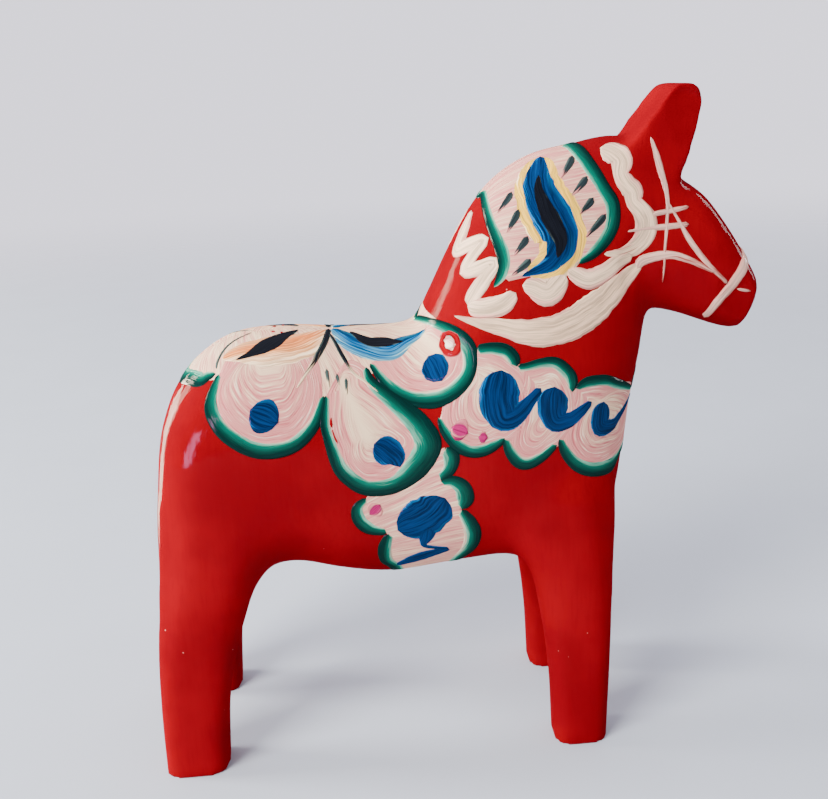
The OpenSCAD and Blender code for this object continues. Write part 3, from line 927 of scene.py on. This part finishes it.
petals("saddle_ground", [
    (HIND_BORDER + [(-26, 84), (-34, 5, "top"), (-42, 84.5)], [(-36, 85), (-33, 85)], 1),
    (MIDDLE_BORDER + [(-20, 82.5)], [(-21.3, 79.5), (-17.3, 69.5)], 2),
    (FORE_BORDER[:-1] + [(-10, 8, "top")], [(-5, 86), (-2.5, 84.5)], 1),
], 0.82, part="_petals")
middle_border("rump_border", 2, [
    (-45, 81.8, 0.4, "left"), (-48.7, 80.4, 1.3, "left"), (0, 79, 1.3, "back"), (-48.7, 80.4, 1.3),
    (-46.2, 81.3, 0.9), (-44.7, 81.9, 0.4),
], spread=(-1.6, 1))
border("hind_petal_border", HIND_BORDER)
border("fore_petal_border", FORE_BORDER)
border("middle_petal_border", MIDDLE_BORDER, layer=4)
strokes("peach_leaf", "peach_paint", 3, [
    [(-43.5, 84, 0.8), (-39.5, 9.5, 3.4, "top"), (-34.5, 9.5, 4.8, "top"), (-28.7, 8, 4.4, "top"),
     (-23.7, 1.5, 0.8, "top")],
], [(0, srgb(222, 164, 116)), (0.35, PEACH), (0.65, srgb(220, 146, 90)), (1, CREAM)], under=CREAM,
   dry=(0.4, 1, 0.4), streaks=0.7)
strokes("peach_leaf_heart", "black_paint", 4, [
    [(-40.8, 83.9, 0.2), (-38.3, 10.5, 1, "top"), (-35.8, 9, 2.2, "top"), (-33.6, 7, 2.4, "top"),
     (-31.4, 4.4, 1.4, "top"), (-29.2, 1.8, 0.2, "top")],
], rims(GREY, BLACK, 0.06))
strokes("blue_leaf", "blue_paint", 4, [
    [(-22.3, 0.6, 0.7, "top"), (-19.1, 6.5, 2.6, "top"), (-15.3, 84.1, 3.2), (-11.5, 83.7, 2.9),
     (-7.9, 84.8, 1.9), (-4.4, 86.9, 0.3)],
], [(0, srgb(30, 96, 124)), (0.3, BLUE), (0.6, SKY), (0.85, srgb(64, 130, 156)), (1, srgb(150, 176, 166))],
   streaks=0.8, thin=0.14, under=CREAM)
strokes("blue_leaf_heart", "black_paint", 5, [
    [(-19, 3, 0.3, "top"), (-15.8, 7, 1.7, "top"), (-12.4, 84.6, 1.8), (-8.8, 84.6, 0.2)],
], rims(GREY, BLACK, 0.08))
strokes("saddle_fork_lines", "black_paint", 5, [
    [(-23.2, 1, 0.6, "top"), (-24, 85.4, 0.7), (-25.6, 83.5, 0.6), (-27.2, 81.7, 0.35), (-29.6, 79, 0.15)],
    [(-23, 4, 0.3, "top"), (-21, 83.7, 0.4), (-19.1, 80.8, 0.35), (-17.2, 79.3, 0.3), (-14.5, 77.1, 0.15)],
], rims(GREY, BLACK, 0.3), dry=(0.3, 1, 0.6), thin=0.1, under=CREAM)
strokes("saddle_fork_lines", "black_paint", 3, [
    [(-44.6, 82.6, 0.2), (-44.3, 9.5, 0.3, "top"), (-42.3, 5, 0.3, "top"), (-38.5, 1, 0.2, "top")],
], rims(GREY, GREY), part="_leaf_edge", dry=(0.2, 1, 0.3), thin=0.2, under=CREAM)
strokes("saddle_dashes", "black_paint", 5, [
    [(-23.9, 81.5, 0.4), (-23.6, 78.6, 0.2)],
    [(-22, 80.6, 0.4), (-21.7, 78.7, 0.2)],
    [(-20.3, 79.8, 0.4), (-20.4, 77, 0.2)],
], rims(GREY, GREY), dry=(0.2, 1, 0.5), thin=0.1, under=CREAM)
strokes("saddle_blue_dots", "blue_paint", 5, [
    [(-38.4, 76, 2.6), (-35.9, 74.7, 3.4), (-33.4, 73.4, 2.6)],
    [(-15.9, 68, 2.4), (-13.9, 66.7, 3.1), (-12, 65, 2.3), (-11.3, 63.2, 0.4)],
    [(-4.4, 82.8, 2.2), (-3.4, 80.9, 2.8), (-2.4, 78.8, 2)],
], **BLUE_DABS)
strokes("red_flower", "scarlet_paint", 5, [
    [(-1, 85.9, 1), (-0.4, 85.4, 1.4), (0.2, 84.9, 1)],
], [(0, PINK), (1, IVORY)], part="_middle", streaks=0.9)
turns = [k * math.pi / 4 for k in range(8)]
strokes("red_flower", "scarlet_paint", 6,
        [[(-0.4 + 1.5 * math.cos(a), 85.4 + 1.8 * math.sin(a), 0.65) for a in turns]],
        [(0, SCARLET), (0.9, SCARLET), (1, ROSE)], closed=True, ragged=0.4)
# Two specks of red on the back and two scratches down to the red in the middle petal
strokes("saddle_ground", "cream_paint", 5, [
    [(-34.4, 2, 0.4, "top"), (-33.7, 2.4, 0.3, "top")],
    [(-32.6, 3.1, 0.3, "top"), (-32.1, 3.3, 0.2, "top")],
    [(-23.6, 73.4, 0.2), (-23.7, 72.4, 0.4), (-23.6, 71.6, 0.2)],
    [(-23.5, 71.2, 0.15), (-23.2, 69.9, 0.2), (-22.7, 68.6, 0.15)],
], rims(ROSE, SCARLET), part="_specks", ragged=0.3)

# Breast band
BAND_TOP = [
    [(11.5, 81.1, 0.6), (11.2, 82.7, 1), (9.8, 84.3, 1), (7.3, 84.9, 0.9), (4.3, 84.7, 0.7)],
    [(22, 75.2, 0.4), (22.4, 77, 0.9), (21.6, 79, 1), (19.2, 81.2, 0.9), (16.5, 81.5, 0.8), (13, 81, 0.6),
     (11.7, 81.1, 0.6)],
    [(6.5, 72, 0.4, "front"), (32.2, 74.8, 0.8), (29.1, 76.4, 0.8), (25.2, 76.8, 0.8), (22.8, 75.8, 0.4)],
]
BAND_BOTTOM = [
    [(-3.6, 72.1, 0.3), (-2.6, 69.3, 0.7), (-0.4, 66.5, 0.9), (2.2, 65.1, 0.9), (5.1, 65.3, 0.9),
     (7.8, 66.7, 0.6), (8.7, 67.6, 0.4)],
    [(8.6, 67.4, 0.4), (9.4, 64.8, 0.8), (11.1, 62.4, 1), (13.2, 61.8, 1), (16, 62.9, 0.8),
     (18.8, 65.1, 0.5)],
    [(19.3, 66.2, 0.4), (20.3, 63.4, 0.8), (22.5, 60.4, 1), (25.5, 58.7, 1.1), (29.2, 58, 1.1),
     (32, 58.3, 1), (6, 60.5, 0.5, "front")],
]
patch("breast_band_ground", [
    [(2, 84), (7.5, 84.5), (11.5, 81.5), (18.5, 81.3), (22.3, 77), (27, 76.5), (32, 75),
     (6.5, 72.5, "front"), (0, 74.5, "front")],
    [(-3.5, 71.5), (1, 65.7), (5.5, 65.5), (9, 66.8), (12.5, 62), (16.5, 63.3), (19.8, 64.8), (24, 59.5),
     (30, 58), (6, 60.5, "front"), (0, 58, "front")],
], 0.75)
petals("breast_band_ground", [
    ([(1, 84.3), (-2.9, 73), (-2, 68.8), (2, 66), (7, 66.6), (9.5, 66.5), (13.5, 70), (14, 77),
      (11, 81.5), (7, 84.2)], [(6, 78), (8, 74)], 1),
    ([(12.5, 80.5), (11, 74), (9.8, 65.5), (12.8, 62.5), (17, 64), (20, 65.5), (23, 70), (22, 77.5),
      (18.5, 81)], [(17, 75), (18, 72)], 1),
    ([(22.6, 76), (21.5, 70), (20.3, 64.5), (24, 59.8), (30, 58.5), (5, 62, "front"),
      (5.5, 72, "front"), (29, 75.8)], [(27.5, 71), (28.5, 68)], 1),
], 0.75, part="_lobes")
border("breast_band_border", *BAND_TOP, *BAND_BOTTOM)
for part, arc in (("_chest_top", [(-6.5, 72), (-3.5, 75), (0, 75.8), (3.5, 75), (6.5, 72)]),
                  ("_chest_bottom", [(6.5, 61), (4, 58), (0, 56.8), (-4, 58), (-6.5, 61)])):
    middle_border("breast_band_border", 3, [(y, z, 0.9, "front") for y, z in arc], part)
strokes("breast_band_wave", "blue_paint", 4, [
    [(8.6, 80.6, 2.7), (8.1, 77, 3.9), (7.9, 74, 3.9), (8.6, 71.4, 2.6), (10.8, 71.6, 2), (13, 73.6, 1.5),
     (15.9, 76.6, 0.7)],
    [(18.6, 76.6, 2.2), (18.2, 74.2, 3.1), (18.2, 71.9, 3), (18.9, 69.8, 2.2), (21.4, 69.8, 1.6),
     (23.6, 71, 1.2), (26, 72.6, 0.6)],
    [(28.7, 72, 1.8), (28.1, 69.4, 2.6), (28.1, 67.1, 2.1), (30.9, 66.6, 1.4), (32.7, 67.8, 0.9),
     (6, 70.5, 0.4, "front")],
], **BLUE_DABS)
strokes("breast_band_pink_dots", "orchid_paint", 4, [
    [(-1.2, 70.4, 2), (0.3, 69.7, 2.5), (1.8, 69, 2)],
    [(3.7, 68.2, 1.1), (4.6, 68.1, 1.5), (5.5, 68, 1.1)],
], **PINK_DABS)

# Girth
GIRTH = [
    [(-3.7, 60, 0.6), (-1.6, 62.1, 1), (-1.1, 64.7, 1.2), (-2.3, 66.5, 1)],
    [(0.2, 53.5, 0.6), (1.3, 55.5, 1.3), (0.8, 58.3, 1.2), (-1.3, 59.9, 0.9), (-3.7, 59.8, 0.5)],
    [(-1.5, 1, 0.6, "below"), (-0.8, 7, 0.9, "below"), (0.1, 39.8, 1), (2.1, 43.3, 1.2), (2.8, 47.1, 1.3),
     (1.9, 50.5, 1.1), (0.2, 53.3, 0.6)],
    [(-18.1, 57.3, 0.4), (-20.1, 55.4, 0.8), (-19.9, 52.5, 1), (-17.9, 50.2, 1), (-14.6, 49.2, 0.6)],
    [(-14.2, 49, 0.6), (-15.4, 45.7, 1), (-15.1, 41.8, 1), (-13.4, 39.2, 1), (-12.5, 7, 0.9, "below"),
     (-12, 1, 0.6, "below")],
]
patch("girth_ground", [
    [(-2.7, 66.5), (-2, 62.3), (-1.6, 59.9), (0.6, 57), (0.1, 53.4), (2.3, 47.5), (1.5, 43.3),
     (-0.5, 39.8), (-1, 7, "below"), (-1.5, 0, "below")],
    [(-17.6, 58), (-19.5, 54.4), (-17.9, 50.6), (-14.5, 49.2), (-14.8, 45), (-14.5, 41.8),
     (-13, 39.2), (-12.4, 7, "below"), (-12, 0, "below")],
], 0.7)
border("girth_border", *GIRTH, layer=2)
strokes("girth_blue_leaves", "blue_paint", 3, [
    [(-3, 56.2, 2.6), (-5.3, 53.6, 4.2), (-8.4, 51.4, 4.5), (-12.4, 49.8, 2.8)],
    [(-6.4, 50, 2.3), (-6.9, 47.5, 1.5), (-7.3, 45.4, 0.6), (-5.5, 44.6, 0.5), (-2.4, 43.8, 0.5)],
    [(-12.8, 40, 0.8), (-8.8, 41.8, 1.7), (-5, 43, 1.3), (-2.2, 43.4, 0.4)],
], **BLUE_DABS)
strokes("girth_pink_dots", "orchid_paint", 3, [
    [(-17.6, 53.8, 1.4), (-16.6, 54.7, 1.9), (-15.5, 55.8, 1.4)],
], **PINK_DABS)


# ---- camera, light and floor

# Where the camera stands, in design mm, which way it looks, and its focal length in picture widths
CAMERA_PLACE = (-18.8, -210.6, 133.6)
YAW, PITCH, ROLL = math.radians(3.24), math.radians(16.67), math.radians(-2.97)
FOCAL_WIDTHS = 1.3
SENSOR_WIDTH = 36
# In metres: what the soft boxes point at, half the floor's width, and how far out it shows
LIGHT_AIM = (0, 0, 0.06)
FLOOR_HALF, FLOOR_SHOWN = 1.2, 1.1
WARM, LILAC = (1, 0.84, 0.62), (1, 0.4, 0.8)


def add_camera():
    ahead = Vector((math.sin(YAW) * math.cos(PITCH), math.cos(YAW) * math.cos(PITCH), -math.sin(PITCH)))
    right = Vector((math.cos(YAW), -math.sin(YAW), 0))
    up = right.cross(ahead)
    tilted_right = right * math.cos(ROLL) + up * math.sin(ROLL)
    tilted_up = up * math.cos(ROLL) - right * math.sin(ROLL)
    camera = linked("camera", bpy.data.cameras.new("camera"))
    turn = Matrix((tilted_right, tilted_up, -ahead)).transposed().to_4x4()
    camera.matrix_world = Matrix.Translation(Vector(CAMERA_PLACE) * MM) @ turn
    camera.data.sensor_width = SENSOR_WIDTH
    camera.data.lens = FOCAL_WIDTHS * SENSOR_WIDTH
    camera.data.clip_start = 0.01
    bpy.context.scene.camera = camera


def add_light(name, place, power, width, height, tint=(1, 1, 1), lights_paint=True, shines=True):
    """A soft box, which may light the paint, shine in the varnish, or both."""
    lamp = bpy.data.lights.new(name, "AREA")
    lamp.color = tint
    lamp.shape = "RECTANGLE"
    lamp.energy = power
    lamp.size, lamp.size_y = width, height
    light = linked(name, lamp)
    light.location = Vector(place)
    aim = Vector(LIGHT_AIM) - light.location
    light.rotation_euler = aim.to_track_quat("-Z", "Y").to_euler()
    light.visible_camera = False
    light.visible_diffuse = lights_paint
    light.visible_glossy = shines


def floor_material():
    """A pale sheet that fades out into the pale room round it."""
    shader = Shader("pale floor")
    place = shader.node("TexCoord").outputs["Object"]
    grain = shader.noise(place, 30, 2)
    shader.set("Base Color", shader.mix(grain, srgb(184, 190, 198), srgb(190, 196, 204)))
    shader.set("Roughness", 0.7)
    shader.set("Coat Weight", 0)
    away = shader.node("VectorMath", {0: place}, operation="LENGTH").outputs["Value"]
    shader.set("Alpha", shader.range(away, FLOOR_SHOWN, 0.3))
    return shader.material


def add_floor():
    bm = bmesh.new()
    bmesh.ops.create_grid(bm, x_segments=1, y_segments=1, size=FLOOR_HALF)
    floor = mesh_object("floor", bm)
    floor.data.materials.append(floor_material())


def add_world():
    """A pale room, brighter behind the horse's left side."""
    world = bpy.data.worlds.new("studio")
    world.use_nodes = True
    nodes, links = world.node_tree.nodes, world.node_tree.links
    split = nodes.new("ShaderNodeSeparateXYZ")
    links.new(nodes.new("ShaderNodeTexCoord").outputs["Generated"], split.inputs[0])
    bright = nodes.new("ShaderNodeMapRange")
    bright.interpolation_type = "SMOOTHSTEP"
    for socket, value in (("From Min", -0.8), ("From Max", 0.8), ("To Min", 0.72), ("To Max", 1.75)):
        bright.inputs[socket].default_value = value
    links.new(split.outputs["Y"], bright.inputs["Value"])
    background = nodes["Background"]
    background.inputs["Color"].default_value = srgb(243, 240, 255)
    links.new(bright.outputs[0], background.inputs["Strength"])
    bpy.context.scene.world = world


add_camera()
add_floor()
add_world()
add_light("key", (-0.75, -0.7, 0.7), 32, 0.6, 0.6, shines=False)
add_light("side_window", (-1.05, 0.15, 0.35), 24, 0.3, 0.7, shines=False)
add_light("window", (-0.85, 0.65, 0.25), 60, 0.26, 0.55, WARM, lights_paint=False)
add_light("near_strip", (-0.15, 0.1, 0.05), 6.4, 0.06, 0.1, WARM, lights_paint=False)
add_light("far_window", (-0.85, -0.65, 0.15), 30, 0.24, 0.4, LILAC, lights_paint=False)
add_light("right_window", (0.85, 0.45, 0.35), 28, 0.25, 0.5, lights_paint=False)
